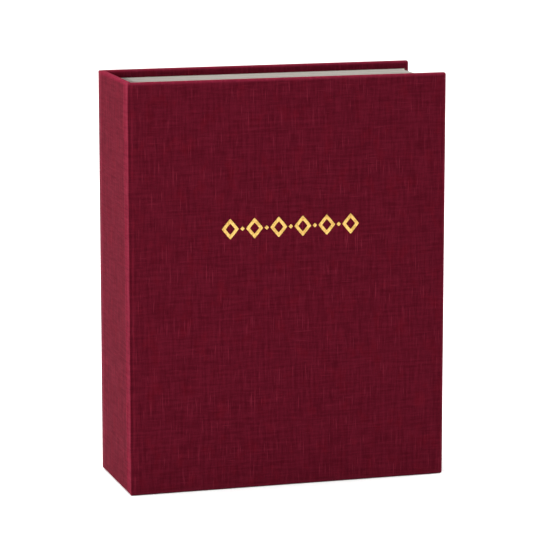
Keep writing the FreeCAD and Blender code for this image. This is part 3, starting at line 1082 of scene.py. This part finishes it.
film, tree, shader, place = new_material(
    "pocket_film", 0.22, Coat_Weight=0.6, Coat_Roughness=0.08, Specular_IOR_Level=0.5
)
tone = leaf_tone(tree, place)
colour = mixed(tree, tone, FILM_DARK, FILM_LIGHT)
ripple = noise(tree, stretched(tree, place, (38, 10, 26)), 2.0, 0.5)
scuffs = noise(tree, stretched(tree, place, (900, 10, 60)), 2.0, 0.6)
rough = between(tree, scuffs, 0.4, 0.75, 0.16, 0.38)
finish_shader(tree, shader, colour, rough, ripple, 0.6 * MM, 0.5)
print("leaf materials", card.name, film.name)

# %% [markdown]
# Hot foil on cloth is matt and a little broken: it sits on the tops of the yarns, so the weave
# shows through, and here and there a yarn's valley stays bare.

# %% Gold foil
GOLD_DULL, GOLD_BRIGHT = (0.55, 0.33, 0.08, 1), (0.80, 0.52, 0.155, 1)
BARE_YARN = (0.40, 0.17, 0.06, 1)

foil_material, tree, shader, place = new_material("matt_gold_foil", 0.42, Metallic=0.85)
turned = node(tree, "ShaderNodeSeparateXYZ", [(0, place)])
across_up = [(0, turned.outputs[0]), (1, turned.outputs[2])]
flat = node(tree, "ShaderNodeCombineXYZ", across_up).outputs[0]
threads = use_group(tree, linen, [("Sheet", flat), ("Yarn", YARN), ("Slub Share", 0.5)])
mottle = noise(tree, place, 3.0, 0.6, 900.0)
colour = mixed(tree, between(tree, mottle, 0.35, 0.65), GOLD_DULL, GOLD_BRIGHT)
valleys = between(tree, threads.outputs["Level"], 0.62, 0.74, 0.0, 0.5)
colour = mixed(tree, valleys, colour, BARE_YARN)
rough = between(tree, mottle, 0.3, 0.7, 0.5, 0.34)
finish_shader(tree, shader, colour, rough, threads.outputs["Height"], 0.1 * MM, 0.7)
print("foil material", len(tree.nodes), "nodes")

# %% [markdown]
# A new piece has no finish until one is added to its mesh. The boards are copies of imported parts,
# so their old finish is taken off first. The lining, the glue, the guards and the leaves' tabs are
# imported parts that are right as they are, and only change their finish.

# %% Giving the finishes to the pieces
for piece in (front_cloth, back_cloth, spine_covering):
    piece.data.materials.append(cloth_material)
for pair in papers.values():
    for piece in pair:
        piece.data.materials.append(endpaper)
for leaf in leaves:
    leaf.data.materials.append(card)
    leaf.data.materials.append(film)
gold.data.materials.append(foil_material)
for board in boards.values():
    board.data.materials.clear()
    board.data.materials.append(greyboard)
carried = {
    "spine_lining": kraft,
    "binding_glue": glue,
    "guard_strips": guard_card,
    "leaf_tabs": card,
}
for name, material in carried.items():
    for finish in nodes[name].material_slots:
        finish.material = material
print("carried parts with finishes", len(carried))

# %% [markdown]
# The album stands on a plain pale floor that curves up behind it, so no horizon shows. The floor is
# one line, flat and then a quarter circle and an upright, carried across the width.

# %% Floor
def sweep(half_width, front, back, rise):
    """A floor line, a quarter circle of radius rise, and an upright, carried across the width."""
    a = np.linspace(0, math.pi / 2, 24)[1:]
    level = np.linspace(-1, back, 12)
    y = np.concatenate([[front], level, back + rise * np.sin(a), [back + rise]])
    z = np.concatenate([[0], 0 * level, rise * (1 - np.cos(a)), [rise * 2]])
    x = np.linspace(-half_width, half_width, 9)
    grid = np.stack(np.broadcast_arrays(x[:, None], y, z), axis=-1)
    return grid.reshape(-1, 3), quads(len(x), len(y)), None, 0


floor = piece_from("floor", [sweep(8.0, -6.0, 4.5, 1.6)], recalculated=False)
if floor.data.polygons[5].normal.z < 0:
    floor.data.flip_normals()
floor_material, tree, shader, place = new_material("pale_floor", 0.9, Specular_IOR_Level=0.1)
soft = noise(tree, place, 2.0, 0.5, 3.0)
colour = mixed(tree, soft, (0.62, 0.62, 0.62, 1), (0.66, 0.66, 0.66, 1))
finish_shader(tree, shader, colour)
floor.data.materials.append(floor_material)
print("floor", len(floor.data.polygons), "faces")

# %% [markdown]
# The main light is large and stands to the left, level with the spine more than with the front
# cover, and that makes the spine the brighter face. A weak one fills the front, and one to the
# right, a little behind, lights the edges on that side. A wide sun hangs above, and its softness
# comes from its angle. An even white world fills what is left.

# %% Lights
def area_light(name, place, target, size, power):
    """A square soft light that looks at a target. size is its side in metres, power in watts."""
    data = bpy.data.lights.new(name, "AREA")
    data.shape = "SQUARE"
    data.size, data.energy = size, power
    lamp = bpy.data.objects.new(name, data)
    bpy.context.scene.collection.objects.link(lamp)
    lamp.location = place
    lamp.rotation_mode = "QUATERNION"
    lamp.rotation_quaternion = (Vector(target) - Vector(place)).to_track_quat("-Z", "Y")


SUN_STRENGTH, SUN_ANGLE = 5.0, math.radians(75)
WORLD_STRENGTH = 0.42
album_middle = (0, 0, HEIGHT / 2)
area_light("main_light", (-1.9, -0.55, 0.75), album_middle, 0.8, 70)
area_light("front_fill", (1.2, -2.2, 0.9), album_middle, 1.6, 2)
area_light("right_rim", (2.0, 0.35, 0.7), album_middle, 0.8, 60)
sun_data = bpy.data.lights.new("overhead", "SUN")
sun_data.energy, sun_data.angle = SUN_STRENGTH, SUN_ANGLE
sun = bpy.data.objects.new("overhead", sun_data)
bpy.context.scene.collection.objects.link(sun)
sun.rotation_euler = (math.radians(-6), math.radians(-8), 0)
world = bpy.data.worlds.new("studio")
world.use_nodes = True
background = world.node_tree.nodes["Background"]
background.inputs["Color"].default_value = (1, 1, 1, 1)
background.inputs["Strength"].default_value = WORLD_STRENGTH
bpy.context.scene.world = world
bpy.context.scene.view_settings.view_transform = "Standard"
